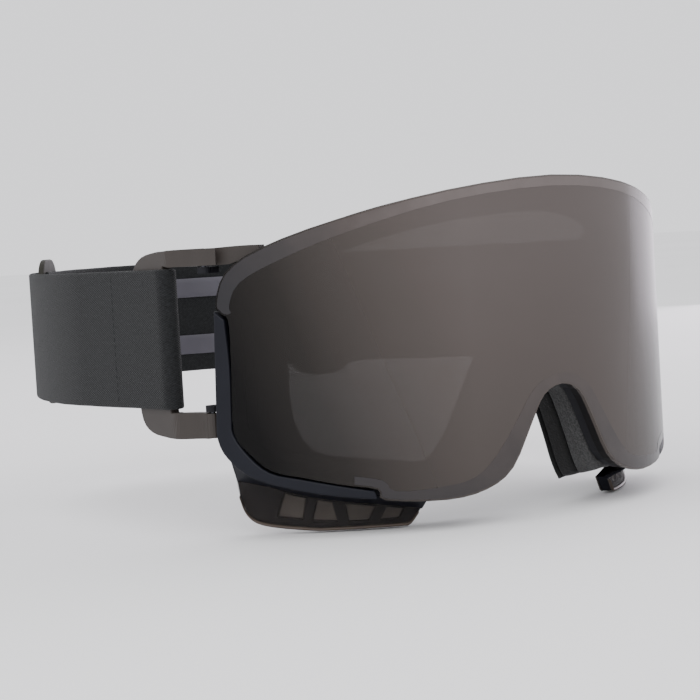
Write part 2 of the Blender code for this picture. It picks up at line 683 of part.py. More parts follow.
clear_scene()
GOGGLES = make_collection("ski_goggles")
HELPERS = make_collection("helpers")
looks = {name: make_material(name) for name in COLOURS}
build_lens(looks)
build_frame(looks)
build_strap(looks)
for each_name, each_side in SIDES.items():
    build_latch(each_name, each_side, looks)
    build_chin_vent(each_name, each_side, looks)
    build_outrigger(each_name, each_side, looks)
    build_shoulder(each_name, each_side, looks)
    build_slider(each_name, each_side, looks)
finish(list(GOGGLES.objects) + list(HELPERS.objects))
place_origins()
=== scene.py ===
"""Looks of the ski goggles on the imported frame: woven straps, foam seal, tinted lens, moulded plastics."""
from math import atan2, cos, degrees, hypot, pi, radians, sin

import bmesh
import bpy
from mathutils import Matrix, Vector


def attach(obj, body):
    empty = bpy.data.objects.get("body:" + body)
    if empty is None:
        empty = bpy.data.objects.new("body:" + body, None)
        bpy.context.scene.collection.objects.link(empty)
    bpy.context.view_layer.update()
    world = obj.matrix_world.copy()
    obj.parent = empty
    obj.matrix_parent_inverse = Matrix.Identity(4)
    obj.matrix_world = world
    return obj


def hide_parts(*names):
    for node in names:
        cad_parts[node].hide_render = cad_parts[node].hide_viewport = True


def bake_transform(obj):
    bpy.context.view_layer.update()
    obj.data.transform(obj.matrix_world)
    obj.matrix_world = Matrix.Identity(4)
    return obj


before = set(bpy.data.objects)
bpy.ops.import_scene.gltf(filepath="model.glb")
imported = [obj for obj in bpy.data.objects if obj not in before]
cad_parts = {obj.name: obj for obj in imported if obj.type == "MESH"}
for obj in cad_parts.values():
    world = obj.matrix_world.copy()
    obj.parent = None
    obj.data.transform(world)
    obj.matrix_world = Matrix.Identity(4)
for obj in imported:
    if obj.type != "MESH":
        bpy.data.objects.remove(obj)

for spare in ("Cube", "Light", "Camera"):
    if spare in bpy.data.objects:
        bpy.data.objects.remove(bpy.data.objects[spare], do_unlink=True)
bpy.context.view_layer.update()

MM = 0.001
SIDES = {"right": -1, "left": 1}

# The lens cylinder's upright axis, in the model's millimetres. Shapes are laid out in millimetres about it.
AXIS = Vector((0, -9.6, 52.0))

# The camera, in metres: a long lens in front of the goggles and to the wearer's right, dipped a little.
CAMERA_PLACE = Vector((-0.4454, -0.5803, 0.0857))
CAMERA_AZIMUTH = radians(38.05)
CAMERA_DIP = radians(3.08)
CAMERA_ROLL = radians(-3.42)
CAMERA_LENS = 115.2
CAMERA_SENSOR = 36
CAMERA_NEAR = 0.01

# The studio, in metres.
WORLD_COLOUR = (0.97, 0.97, 1.0, 1.0)
WORLD_STRENGTH = 1.4
FLOOR_HALF_SIZE = 6.0
FLOOR_HEIGHT = -0.0005
LIGHT_TARGET = (0, 0, 0.05)

# The lens colour, a smoky tint with painted shade and reflection, runs with the distance forward of the
# model's origin and with the height, in metres. The shares say how much the first, the second and their
# product count.
LENS_ALPHA = 0.885
LENS_ROUGHNESS = 0.2
LENS_GLOSS = 0.12
SHADE_FORWARD = (0.060, 0.105)
SHADE_UP = (0.008, 0.088)
LENS_SHARES = (0.76, 0.38, -0.21)
BORDER_SHARES = (0.62, 0.38, 0.0)
# Ramps of the smoky tint: the dark end is painted shade, the light end painted reflection.
LENS_TINT_AND_SHADE = ((0.0, "010102"), (0.25, "0a0909"), (0.5, "272422"), (0.8, "4c4643"), (1.0, "5f5856"))
BORDER_TINT_AND_SHADE = ((0.0, "1b1b1d"), (0.35, "2c2b2d"), (0.6, "393636"), (0.8, "4b4543"), (1.0, "645d5b"))

# The webbing's rib and weft pitches, in millimetres.
WARP_PITCH = 0.7
WEFT_PITCH = 1.0

# Sizes of the foams' pores and pitch of the vents' mesh, in metres.
FOAM_PORE = 0.0005
GASKET_PORE = 0.0008
MESH_PITCH = 0.0009

# Wrapped plates: each pair is a surface's radius on the plain solid and the radius given to it, in
# millimetres. Angles are in degrees, and the distances for cutting and merging in metres.
OUTER_LENS_RADII = ((98.9, 98.9), (100.0, 100.0))
INNER_LENS_RADII = ((95.9, 95.9), (96.6, 96.6))
BORDER_RADII = ((95.9, 99.9), (98.6, 100.05))
WRAP_CUTS = 180
WRAP_FLAT_ANGLE = 0.5
WRAPPED_LEAN = 0.9
CUT_SNAP = 0.000005
MERGE_DISTANCE = 0.00002
SHARP_ANGLE = 50

# The latch takes the border's place below this height and beyond this angle from the front, in degrees.
LATCH_TOP = 12.0
LATCH_INNER_ANGLE = 38.0

# Chin vent edges, from the outer end inward, as (degrees round the lens axis, height). A pair of radii is a
# shell's inner and outer face.
VENT_TOP = [(61.0, -36.4), (58.5, -37.0), (54, -38.4), (47, -41.3), (40, -43.3), (33, -44.8),
            (28, -46.0), (25.4, -46.8)]
VENT_BOTTOM = [(60.5, -41.5), (59.2, -46.4), (56.0, -49.4), (47, -51.2), (40, -52.0), (32, -52.0),
               (28.4, -51.6), (26.2, -48.2)]
VENT_BASE = -51.95
COVER_RADII = (86.6, 87.0)
LINER_RADII = (82.8, 83.2)
SHELL_STEPS = 4
LIP_RADIUS = 0.5
LIP_SIDES = 8
SKIRT_EDGE = [(59.6, -30.4), (57.9, -31.8), (53.6, -34.6), (47, -38.7), (40, -41.0), (33, -42.3),
              (28, -43.1), (25.4, -43.5)]
SKIRT_RADIUS = 94.6
SKIRT_WIDE = 1.0
SKIRT_LAP = 0.6

# The fairing over each outrigger's upper knuckle, in plan as (distance from the middle, y).
FAIRING = [(91.2, -36.0), (90.5, -37.6), (89.6, -39.0), (88.45, -40.4), (87.4, -42.2), (86.9, -44.0),
           (86.5, -46.0), (85.6, -48.2), (84.2, -50.4)]
FAIRING_THICK = 0.7
FAIRING_LOW = 25.9
FAIRING_HIGH = 30.75
CURVE_STEPS = 4

# The strap's middle line in plan: straight beside the face, a superellipse behind, and at each front end a
# fold round the outrigger's bar.
STRAP_HALF_WIDTH = 92.5
STRAIGHT_END_Y = 10.0
STRAP_DEPTH = 113.4
STRAP_ROUNDNESS = 1.78
STRAIGHT_STEPS = 6
QUARTER_STEPS = 240
SEAM_END_Y = -3.5
FOLD_CENTRE = (-90.0, -32.85)
FOLD_RADIUS = 2.5
FOLD_STEPS = 16
FOLD_MEETS_RUN_Y = -20.0
INNER_LAYER_X = -90.8
INNER_LAYER_Y = (-4.5, -7.5)
INNER_LAYER_LEAVES_Y = -14.0

# The webbing: its section, its two layers at the buckles, with the back strap inside by the offset, and its
# slightly uneven edges. An edge wave is (share, radians in a millimetre, start).
STRAP_LOW = -14.8
STRAP_HIGH = 25.4
STRAP_MIDDLE = (STRAP_LOW + STRAP_HIGH) / 2
STRAP_THICK = 1.4
STRAP_COLUMNS = 14
STRIP_EDGE_STEPS = 6
SLIDER_PLACE = 69.3
SLIDER_LENGTH = 24.5
STRAP_OVERLAP = 16.0
INNER_OFFSET = 4.9
LOOP_STEP = 1.5
SIDE_STEP = 1.2
ROUNDING = 1e-9
STRAP_RIPPLE = 0.03
RIPPLE_REACH = 20
EDGE_WAVES = ((1.0, 0.21, 0.0), (0.6, 0.53, 1.0))

# The stitches that close each side strap's fold.
STITCH_Y = -8.5
STITCH_PITCH = 2.2
STITCH_LENGTH = 1.5
STITCH_WIDTH = 0.25
STITCH_MARGIN = 1.5
THREAD_STEPS = 6
THREAD_SIDES = 6
THREAD_TIP = 0.1

# The silicone grips inside the strap, and how far their ends stay from the buckles and the fold.
GRIP_WIDTH = 7.0
GRIP_THICK = 0.5
GRIP_OFFSET = 10.4
GRIP_CLEAR = 0.05
GRIP_COLUMNS = 4
GRIP_BACK_END = 7.5
GRIP_SIDE_END = 6.0
GRIP_FRONT_END = 12

# Foam and fleece layers: piece, node, slot, width of the rounded edge in metres, body, fill. Angles below
# are in degrees and sizes in metres.
PADS = (("seal_grey_foam", "foam_base", "foam_base", 0.0010, "frame", 0.75),
        ("seal_black_foam", "foam_face", "foam_face", 0.0016, "frame", 0.75),
        ("seal_fleece", "face_fleece", "fleece", 0.0005, "frame", 0.6),
        ("lens_gasket", "lens_spacer", "lens_spacer", 0.0004, "lens", 0.9))
PAD_JOIN_FACE_ANGLE = 25
PAD_JOIN_SHAPE_ANGLE = 60
PAD_EDGE_SEGMENTS = 3
PAD_EDGE_ANGLE = 40
PAD_REFINE_LEVELS = 2
PAD_CELLS = 0.0012
PAD_UNEVENNESS = 0.00012


def srgb(code):
    """Linear colour of a six-digit screen colour."""
    channels = [int(code[i:i + 2], 16) / 255 for i in (0, 2, 4)]
    return tuple(c / 12.92 if c <= 0.04045 else ((c + 0.055) / 1.055) ** 2.4 for c in channels)


def shaded(colour, share):
    """A linear colour made darker or lighter by a share."""
    return tuple(share * c for c in colour)


class Surface:
    """A Principled material with a few procedural nodes added to it."""

    def __init__(self, name, roughness, **sockets):
        self.material = bpy.data.materials.new(name)
        self.material.use_nodes = True
        self.tree = self.material.node_tree
        self.shader = self.tree.nodes["Principled BSDF"]
        self.shader.inputs["Roughness"].default_value = roughness
        for socket, value in sockets.items():
            self.shader.inputs[socket.replace("_", " ")].default_value = value

    def node(self, kind, **settings):
        added = self.tree.nodes.new(kind)
        for key, value in settings.items():
            if key in added.inputs:
                added.inputs[key].default_value = value
            else:
                setattr(added, key, value)
        return added

    def link(self, source, target):
        self.tree.links.new(source, target)

    def coordinates(self, kind="Object", scale=(1, 1, 1)):
        place = self.node("ShaderNodeTexCoord")
        mapping = self.node("ShaderNodeMapping")
        mapping.inputs["Scale"].default_value = scale
        self.link(place.outputs[kind], mapping.inputs["Vector"])
        return mapping.outputs["Vector"]

    def parts(self, vector):
        """A vector's X, Y and Z outputs."""
        added = self.node("ShaderNodeSeparateXYZ")
        self.link(vector, added.inputs["Vector"])
        return added.outputs

    def noise(self, vector, scale, detail=4.0):
        added = self.node("ShaderNodeTexNoise", Scale=scale, Detail=detail)
        self.link(vector, added.inputs["Vector"])
        return added.outputs["Fac"]

    def ramp(self, factor, stops):
        added = self.node("ShaderNodeValToRGB")
        points = added.color_ramp.elements
        while len(points) < len(stops):
            points.new(0.5)
        for point, (place, colour) in zip(points, stops):
            point.position = place
            point.color = (*colour, 1.0)
        self.link(factor, added.inputs["Fac"])
        return added.outputs["Color"]

    def maths(self, operation, a, b=None):
        added = self.node("ShaderNodeMath", operation=operation)
        for socket, value in zip(added.inputs, (a, b)):
            if value is None:
                continue
            if isinstance(value, (int, float)):
                socket.default_value = value
            else:
                self.link(value, socket)
        return added.outputs["Value"]

    def wave(self, value, pitch):
        """A sine of a value, with one cycle in each pitch."""
        return self.maths("SINE", self.maths("MULTIPLY", value, 2 * pi / pitch))

    def span(self, value, low, high):
        """A value's place between two limits, from 0 to 1."""
        added = self.node("ShaderNodeMapRange")
        added.inputs["From Min"].default_value = low
        added.inputs["From Max"].default_value = high
        self.link(value, added.inputs["Value"])
        return added.outputs["Result"]

    def clouded(self, vector, base, scale, dark=0.86, low=0.35, high=0.65):
        """A base colour that drifts a little darker in soft patches."""
        return self.ramp(self.noise(vector, scale), [(low, shaded(base, dark)), (high, base)])

    def colour(self, output):
        self.link(output, self.shader.inputs["Base Color"])

    def rough(self, factor, low, high):
        spread = self.node("ShaderNodeMapRange")
        spread.inputs["To Min"].default_value = low
        spread.inputs["To Max"].default_value = high
        self.link(factor, spread.inputs["Value"])
        self.link(spread.outputs["Result"], self.shader.inputs["Roughness"])

    def bump(self, height, distance, strength):
        added = self.node("ShaderNodeBump", Strength=strength, Distance=distance)
        self.link(height, added.inputs["Height"])
        self.link(added.outputs["Normal"], self.shader.inputs["Normal"])


def moulded(name, code, roughness, gloss, **sockets):
    """Moulded plastic: a faint cloud of colour, fine texture in the gloss and a very fine grain."""
    look = Surface(name, roughness, **sockets)
    look.shader.inputs["Specular IOR Level"].default_value = gloss
    where = look.coordinates()
    look.colour(look.clouded(where, srgb(code), scale=60.0))
    look.rough(look.noise(where, scale=220.0, detail=6.0), roughness - 0.06, roughness + 0.08)
    look.bump(look.noise(where, scale=2600.0, detail=2.0), distance=0.00004, strength=0.35)
    return look.material


def rim_plastic(name, code):
    """The lens carrier: satin on its wrapped faces, with painted shade making the cut edges between them
    much darker.
    """
    look = Surface(name, 0.55)
    look.shader.inputs["Specular IOR Level"].default_value = 0.08
    where = look.coordinates()
    from_axis = look.node("ShaderNodeVectorMath", operation="MULTIPLY_ADD")
    look.link(where, from_axis.inputs[0])
    from_axis.inputs[1].default_value = (1, 1, 0)
    from_axis.inputs[2].default_value = (0, -AXIS.y * MM, 0)
    outward = look.node("ShaderNodeVectorMath", operation="NORMALIZE")
    look.link(from_axis.outputs["Vector"], outward.inputs[0])
    geometry = look.node("ShaderNodeNewGeometry")
    facing = look.node("ShaderNodeVectorMath", operation="DOT_PRODUCT")
    look.link(outward.outputs["Vector"], facing.inputs[0])
    look.link(geometry.outputs["True Normal"], facing.inputs[1])
    wrapped = look.maths("ABSOLUTE", facing.outputs["Value"])
    cloud = look.maths("MULTIPLY", look.noise(where, scale=70.0), 0.1)
    base = srgb(code)
    # Painted shade: faces that do not face outward from the lens axis, the cut edges, are drawn nearly
    # black.
    look.colour(look.ramp(look.maths("ADD", wrapped, cloud), [(0.7, shaded(base, 0.08)), (0.98, base)]))
    look.bump(look.noise(where, scale=2600.0, detail=2.0), distance=0.00003, strength=0.3)
    return look.material


def foam(name, code, pore):
    """Open-cell foam: pores and specks of lighter cell walls."""
    look = Surface(name, 0.95)
    look.shader.inputs["Sheen Weight"].default_value = 0.05
    where = look.coordinates()
    base = srgb(code)
    cells = look.node("ShaderNodeTexVoronoi", Scale=1 / pore)
    look.link(where, cells.inputs["Vector"])
    grit = look.noise(where, scale=0.6 / pore, detail=8.0)
    mixed = look.maths("ADD", look.maths("MULTIPLY", cells.outputs["Distance"], 0.6), grit)
    look.colour(look.ramp(mixed, [(0.45, shaded(base, 0.45)), (0.8, base), (1.0, shaded(base, 1.5))]))
    look.bump(mixed, distance=0.0003, strength=0.8)
    return look.material


def webbing(name, code):
    """Woven elastic: fine ribs along the strap crossed by a coarser weft, with flecks of lighter yarn."""
    look = Surface(name, 0.85)
    look.shader.inputs["Specular IOR Level"].default_value = 0.15
    look.shader.inputs["Sheen Weight"].default_value = 0.08
    look.shader.inputs["Sheen Roughness"].default_value = 0.5
    where = look.coordinates("UV", (1 / MM, 1 / MM, 1 / MM))
    parts = look.parts(where)
    weave = look.maths("MULTIPLY", look.wave(parts["Y"], WARP_PITCH), look.wave(parts["X"], WEFT_PITCH))
    yarn = look.noise(where, scale=1.1, detail=6.0)
    shade = look.maths("ADD", look.maths("MULTIPLY", weave, 0.13), yarn)
    base = srgb(code)
    look.colour(look.ramp(shade, [(0.22, shaded(base, 0.55)), (0.5, base), (0.82, shaded(base, 1.6))]))
    look.bump(look.maths("ADD", weave, yarn), distance=0.00012, strength=0.8)
    return look.material


def lens_tint_and_shade(name, tint_and_shade, alpha, shares, clouds=14.0, drift=0.03):
    """A smoky lens: painted shade darkens its lower outer corners and painted reflection lightens its upper
    front.
    """
    look = Surface(name, LENS_ROUGHNESS, Alpha=alpha, IOR=1.5)
    look.shader.inputs["Specular IOR Level"].default_value = LENS_GLOSS
    where = look.coordinates()
    parts = look.parts(where)
    across = look.span(look.maths("MULTIPLY", parts["Y"], -1.0), *SHADE_FORWARD)
    up = look.span(parts["Z"], *SHADE_UP)
    both = look.maths("MULTIPLY", across, up)
    terms = [look.maths("MULTIPLY", term, share) for term, share in zip((across, up, both), shares)]
    # Painted shade and reflection: the level rises towards the upper front and falls towards the lower outer
    # corners.
    level = look.maths("ADD", look.maths("ADD", terms[0], terms[1]), terms[2])
    patches = look.maths("MULTIPLY", look.maths("SUBTRACT", look.noise(where, clouds), 0.5), drift)
    stops = [(place, srgb(code)) for place, code in tint_and_shade]
    look.colour(look.ramp(look.maths("ADD", level, patches), stops))
    return look.material


def clear_lens(name):
    """The inner lens: almost clear, with a faint grey drift."""
    look = Surface(name, 0.05, Alpha=0.05, IOR=1.5)
    where = look.coordinates()
    look.colour(look.ramp(look.noise(where, scale=8.0), [(0.3, srgb("c8c4c4")), (0.7, srgb("d2cece"))]))
    return look.material


def silicone(name, code):
    """Grip silicone: soft patches of colour and a fine uneven surface."""
    look = Surface(name, 0.45)
    where = look.coordinates()
    look.colour(look.clouded(where, srgb(code), scale=90.0, dark=0.85, low=0.3, high=0.7))
    look.bump(look.noise(where, scale=900.0, detail=3.0), distance=0.00006, strength=0.5)
    return look.material


def steel(name):
    """Turned pin steel, its fine rings running round the pin; its very dark colour is painted shade for the
    knuckle it sits in.
    """
    look = Surface(name, 0.3, Metallic=1.0)
    where = look.coordinates("Object", (1, 1, 12))
    # Painted shade: the steel colours are kept very dark for the shaded knuckle.
    look.colour(look.ramp(look.noise(where, scale=120.0), [(0.3, srgb("3c3c40")), (0.7, srgb("505055"))]))
    look.rough(look.noise(where, scale=400.0), 0.22, 0.4)
    return look.material


def mesh_screen(name, code):
    """Fine vent mesh: a grid of threads over a clouded ground."""
    look = Surface(name, 0.6)
    where = look.coordinates()
    parts = look.parts(where)
    grid = look.maths("MULTIPLY", *[look.wave(parts[axis], MESH_PITCH) for axis in "XZ"])
    base = srgb(code)
    shade = look.maths("ADD", look.maths("MULTIPLY", grid, 0.04), look.noise(where, scale=160.0))
    look.colour(look.ramp(shade, [(0.25, shaded(base, 0.6)), (0.75, base)]))
    look.bump(grid, distance=0.00005, strength=0.4)
    return look.material


def make_looks():
    """Every material, by the name of its slot or of the piece that it is made for."""
    return {
        "outer_lens": lens_tint_and_shade("smoky_lens", LENS_TINT_AND_SHADE, LENS_ALPHA, LENS_SHARES),
        "inner_lens": clear_lens("clear_lens"),
        "lens_rim": rim_plastic("rim_plastic", "4c484b"),
        "lens_spacer": foam("gasket_foam", "1c1c1e", GASKET_PORE),
        "face_frame": moulded("frame_rubber", "17171b", roughness=0.6, gloss=0.15),
        "foam_base": foam("grey_foam", "333333", FOAM_PORE),
        "foam_face": foam("black_foam", "0b0b0b", FOAM_PORE),
        "fleece": foam("fleece", "0a0a0b", FOAM_PORE),
        "latch": moulded("latch_plastic", "191a20", roughness=0.45, gloss=0.12),
        "chin_vent": moulded("vent_plastic", "15161c", roughness=0.5, gloss=0.1),
        "chin_screen": mesh_screen("vent_mesh", "7a7068"),
        "outrigger": moulded("smoky_plastic", "35302d", roughness=0.42, gloss=0.25),
        "pin": steel("pin_steel"),
        # The border print carries the same painted shade and reflection across it.
        "border": lens_tint_and_shade("lens_border", BORDER_TINT_AND_SHADE, 1.0, BORDER_SHARES, clouds=120.0, drift=0.16),
        "vent_cover": moulded("smoky_cover", "35312f", roughness=0.45, gloss=0.1, Alpha=0.32),
        "vent_lip": moulded("smoky_lip", "4b423b", roughness=0.4, gloss=0.25),
        "vent_liner": mesh_screen("vent_liner", "3c3631"),
        "strap": webbing("woven_elastic", "1b1c1d"),
        "grip": silicone("grip_silicone", "48464e"),
        "slider": moulded("buckle_plastic", "2f2e29", roughness=0.5, gloss=0.12),
    }


def dress(looks):
    """Gives every carried-over solid its finish."""
    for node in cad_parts.values():
        for place in node.material_slots:
            place.material = looks[place.material.name.split(".")[0]]


def placed(x, y, z):
    """A point laid out about the lens axis, in metres in the model's frame."""
    return (Vector((x, y, z)) + AXIS) * MM


def polar(radius, angle, height):
    """A point at a radius and an angle round the lens axis from the front, in metres."""
    turn = radians(angle)
    return placed(radius * sin(turn), -radius * cos(turn), height)


def on_curve(a, b, c, d, t):
    """The value at t between b and c on the smooth curve through four values."""
    return 0.5 * (2 * b + (c - a) * t + (2 * a - 5 * b + 4 * c - d) * t ** 2
                  + (3 * b - a - 3 * c + d) * t ** 3)


def curve(points):
    """Points on a smooth curve through the sketch points."""
    ends = [points[0]] + list(points) + [points[-1]]
    line = []
    for four in zip(ends, ends[1:], ends[2:], ends[3:]):
        for step in range(CURVE_STEPS):
            line.append(tuple(on_curve(*values, step / CURVE_STEPS) for values in zip(*four)))
    return line + [tuple(points[-1])]


def made(name, build, look, smooth=True):
    """A mesh object from mesh code, with its normals facing outward."""
    bmesh.ops.recalc_face_normals(build, faces=build.faces)
    for face in build.faces:
        face.smooth = smooth
    mesh = bpy.data.meshes.new(name)
    build.to_mesh(mesh)
    build.free()
    if smooth:
        mesh.set_sharp_from_angle(angle=radians(SHARP_ANGLE))
    thing = bpy.data.objects.new(name, mesh)
    bpy.context.scene.collection.objects.link(thing)
    mesh.materials.append(look)
    return thing


def settle(piece, body, slot, *nodes):
    """Puts a piece on its body, in place of any plain solids named; the slot is not used."""
    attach(piece, body)
    if nodes:
        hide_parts(*nodes)


def between_rows(name, rows, look):
    """A solid skinned over rows of cross-sections."""
    build = bmesh.new()
    rings = [[build.verts.new(point) for point in row] for row in rows]
    for ring, following in zip(rings, rings[1:]):
        for k in range(len(ring)):
            j = (k + 1) % len(ring)
            build.faces.new((ring[k], ring[j], following[j], following[k]))
    build.faces.new(list(reversed(rings[0])))
    build.faces.new(rings[-1])
    return made(name, build, look)


def round_shading(thing):
    """Shades the wrapped faces of a piece as true cylinders about the lens axis."""
    axis = placed(0, 0, 0)
    mesh = thing.data
    normals = []
    for face in mesh.polygons:
        for k in face.loop_indices:
            spot = mesh.vertices[mesh.loops[k].vertex_index].co
            out = Vector((spot.x - axis.x, spot.y - axis.y, 0)).normalized()
            lean = out.dot(face.normal)
            if abs(lean) > WRAPPED_LEAN:
                normals.append(out if lean > 0 else -out)
            else:
                normals.append(face.normal.copy())
    mesh.normals_split_custom_set(normals)


def rewrapped(name, node, moves, look, keep=None):
    """A wrapped plate copied onto true cylinders: its mesh is cut finely round the lens axis, and each
    surface of the plain solid moves to the radius given for it. Where keep is given, only faces whose centre
    passes it stay."""
    build = bmesh.new()
    build.from_mesh(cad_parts[node].data)
    bmesh.ops.remove_doubles(build, verts=build.verts, dist=MERGE_DISTANCE)
    bmesh.ops.dissolve_limit(build, angle_limit=radians(WRAP_FLAT_ANGLE), verts=build.verts,
                             edges=build.edges)
    axis = placed(0, 0, 0)
    for number in range(WRAP_CUTS + 1):
        turn = radians(-90 + 180 * number / WRAP_CUTS)
        everything = build.verts[:] + build.edges[:] + build.faces[:]
        bmesh.ops.bisect_plane(build, geom=everything, plane_co=axis, plane_no=(cos(turn), sin(turn), 0),
                               dist=CUT_SNAP)
    for vert in build.verts:
        out = Vector((vert.co.x - axis.x, vert.co.y - axis.y, 0))
        radius = min(moves, key=lambda pair: abs(pair[0] * MM - out.length))[1] * MM
        spot = out.normalized() * radius
        vert.co = Vector((axis.x + spot.x, axis.y + spot.y, vert.co.z))
    if keep:
        dropped = [face for face in build.faces if not keep(face.calc_center_median() - axis)]
        bmesh.ops.delete(build, geom=dropped, context="FACES")
        bmesh.ops.holes_fill(build, edges=[edge for edge in build.edges if edge.is_boundary], sides=0)
    thing = made(name, build, look)
    round_shading(thing)
    return thing


def clear_of_latch(spot):
    """Whether a point, measured from the lens axis, lies away from the latches."""
    angle = degrees(abs(atan2(spot.x, -spot.y)))
    return angle <= LATCH_INNER_ANGLE or spot.z >= LATCH_TOP * MM


def build_lens(looks):
    """The lenses as true cylinders, and the tinted border on the outer one."""
    shell = rewrapped("lens_shell", "outer_lens", OUTER_LENS_RADII, looks["outer_lens"])
    settle(shell, "lens", "outer_lens", "outer_lens")
    clear = rewrapped("lens_clear", "inner_lens", INNER_LENS_RADII, looks["inner_lens"])
    settle(clear, "lens", "inner_lens", "inner_lens")
    border = rewrapped("lens_border", "lens_rim", BORDER_RADII, looks["border"], keep=clear_of_latch)
    settle(border, "lens", "lens_rim")


def vent_shell(name, side, top, bottom, radii, look):
    """A thin shell between a chin vent's upper and lower edges."""
    inner, outer = radii
    rows = []
    for (far, high), (near, low) in zip(top, bottom):
        down = [(side * (far + (near - far) * k / SHELL_STEPS), high + (low - high) * k / SHELL_STEPS)
                for k in range(SHELL_STEPS + 1)]
        rows.append([polar(outer, *spot) for spot in down]
                    + [polar(inner, *spot) for spot in reversed(down)])
    return between_rows(name, rows, look)


def vent_lip(name, side, bottom, look):
    """The round lip along a chin vent's lower edge."""
    rows = []
    for angle, height in bottom:
        middle = max(height, VENT_BASE + LIP_RADIUS)
        turns = [2 * pi * k / LIP_SIDES for k in range(LIP_SIDES)]
        rows.append([polar(COVER_RADII[1] + LIP_RADIUS * cos(turn), side * angle,
                           middle + LIP_RADIUS * sin(turn)) for turn in turns])
    return between_rows(name, rows, look)


def vent_skirt(name, side, eaves, top, look):
    """The sloping skirt from the frame's edge down to a chin vent's cover."""
    foot = COVER_RADII[0]
    rows = [[polar(SKIRT_RADIUS, side * upper, rise), polar(SKIRT_RADIUS - SKIRT_WIDE, side * upper, rise),
             polar(foot - SKIRT_WIDE, side * lower, fall), polar(foot, side * lower, fall - SKIRT_LAP)]
            for (upper, rise), (lower, fall) in zip(eaves, top)]
    return between_rows(name, rows, look)


def build_vent_covers(looks):
    """Each chin vent's smoky cover, the mesh behind its struts, its lower lip and its skirt."""
    top = curve(VENT_TOP)
    bottom = [(angle, max(height, VENT_BASE)) for angle, height in curve(VENT_BOTTOM)]
    eaves = curve(SKIRT_EDGE)
    for side_name, side in SIDES.items():
        cover = vent_shell("vent_cover_" + side_name, side, top, bottom, COVER_RADII, looks["vent_cover"])
        settle(cover, "frame", "outrigger")
        liner = vent_shell("vent_liner_" + side_name, side, top, bottom, LINER_RADII, looks["vent_liner"])
        settle(liner, "frame", "chin_screen")
        lip = vent_lip("vent_lip_" + side_name, side, bottom, looks["vent_lip"])
        settle(lip, "frame", "outrigger")
        skirt = vent_skirt("vent_skirt_" + side_name, side, eaves, top, looks["chin_vent"])
        settle(skirt, "frame", "chin_vent")


def build_fairings(looks):
    """A thin smoky skin that carries each upper arm's outer face on over its knuckle."""
    line = curve(FAIRING)
    for side_name, side in SIDES.items():
        rows = []
        for number, (x, y) in enumerate(line):
            before, after = line[max(number - 1, 0)], line[min(number + 1, len(line) - 1)]
            along = Vector((after[0] - before[0], after[1] - before[1])).normalized()
            out = Vector((-along.y, along.x)) * FAIRING_THICK / 2
            rows.append([placed(side * (x + out.x), y + out.y, FAIRING_LOW),
                         placed(side * (x + out.x), y + out.y, FAIRING_HIGH),
                         placed(side * (x - out.x), y - out.y, FAIRING_HIGH),
                         placed(side * (x - out.x), y - out.y, FAIRING_LOW)])
        skin = between_rows("fairing_" + side_name, rows, looks["outrigger"])
        settle(skin, "outrigger_" + side_name, "outrigger")


def route():
    """The strap loop's middle line in plan, from the right side's sewn end to the left side's."""
    straight = [(-STRAP_HALF_WIDTH, SEAM_END_Y + (STRAIGHT_END_Y - SEAM_END_Y) * k / STRAIGHT_STEPS)
                for k in range(STRAIGHT_STEPS)]
    power = 2 / STRAP_ROUNDNESS
    turns = [pi * k / (2 * QUARTER_STEPS) for k in range(QUARTER_STEPS)]
    arc = [(-STRAP_HALF_WIDTH * cos(turn) ** power, STRAIGHT_END_Y + STRAP_DEPTH * sin(turn) ** power)
           for turn in turns]
    half = straight + arc
    return half + [(0.0, STRAIGHT_END_Y + STRAP_DEPTH)] + [(-x, y) for x, y in reversed(half)]


def fold_route():
    """The webbing's middle line round the outrigger's bar, from the sewn inner end to the outer seam."""
    inner = [(INNER_LAYER_X, y) for y in INNER_LAYER_Y]
    inner.append((FOLD_CENTRE[0] + FOLD_RADIUS, INNER_LAYER_LEAVES_Y))
    turns = [pi * k / FOLD_STEPS for k in range(FOLD_STEPS + 1)]
    turn = [(FOLD_CENTRE[0] + FOLD_RADIUS * cos(angle), FOLD_CENTRE[1] - FOLD_RADIUS * sin(angle))
            for angle in turns]
    return inner + turn + [(-STRAP_HALF_WIDTH, FOLD_MEETS_RUN_Y)]


def resample(line, step):
    """Evenly spaced (point, inward, distance) stations along a line in plan."""
    lengths = [0.0]
    for a, b in zip(line, line[1:]):
        lengths.append(lengths[-1] + hypot(b[0] - a[0], b[1] - a[1]))
    count = max(2, round(lengths[-1] / step))
    points = []
    for number in range(count + 1):
        at = lengths[-1] * number / count
        k = max(i for i in range(len(line) - 1) if lengths[i] <= at + ROUNDING)
        share = (at - lengths[k]) / (lengths[k + 1] - lengths[k])
        points.append(Vector(line[k]).lerp(Vector(line[k + 1]), share))
    stations = []
    for number, point in enumerate(points):
        along = (points[min(number + 1, count)] - points[max(number - 1, 0)]).normalized()
        stations.append((point, Vector((along.y, -along.x)), lengths[-1] * number / count))
    return stations


def shifted(stations, offset):
    """The stations moved inward by an offset."""
    return [(point + inward * offset, inward, at) for point, inward, at in stations]


def between(stations, first, last):
    """The stations between two distances from the line's middle."""
    middle = stations[-1][2] / 2
    return [station for station in stations if first <= station[2] - middle <= last]


def nearest(stations, x, y):
    """The station nearest to a place in plan."""
    return min(stations, key=lambda station: (station[0] - Vector((x, y))).length)


def strip_profile(thick, low, high, columns):
    """A strip's cross-section as (outward offset, height) pairs, with rounded edges."""
    edge = thick / 2
    turns = [pi * k / STRIP_EDGE_STEPS for k in range(1, STRIP_EDGE_STEPS)]
    outer = [(edge, low + edge + (high - low - 2 * edge) * k / columns) for k in range(columns + 1)]
    top = [(edge * cos(turn), high - edge + edge * sin(turn)) for turn in turns]
    inner = [(-edge, z) for offset, z in reversed(outer)]
    foot = [(-edge * cos(turn), low + edge - edge * sin(turn)) for turn in turns]
    return outer + top + inner + foot


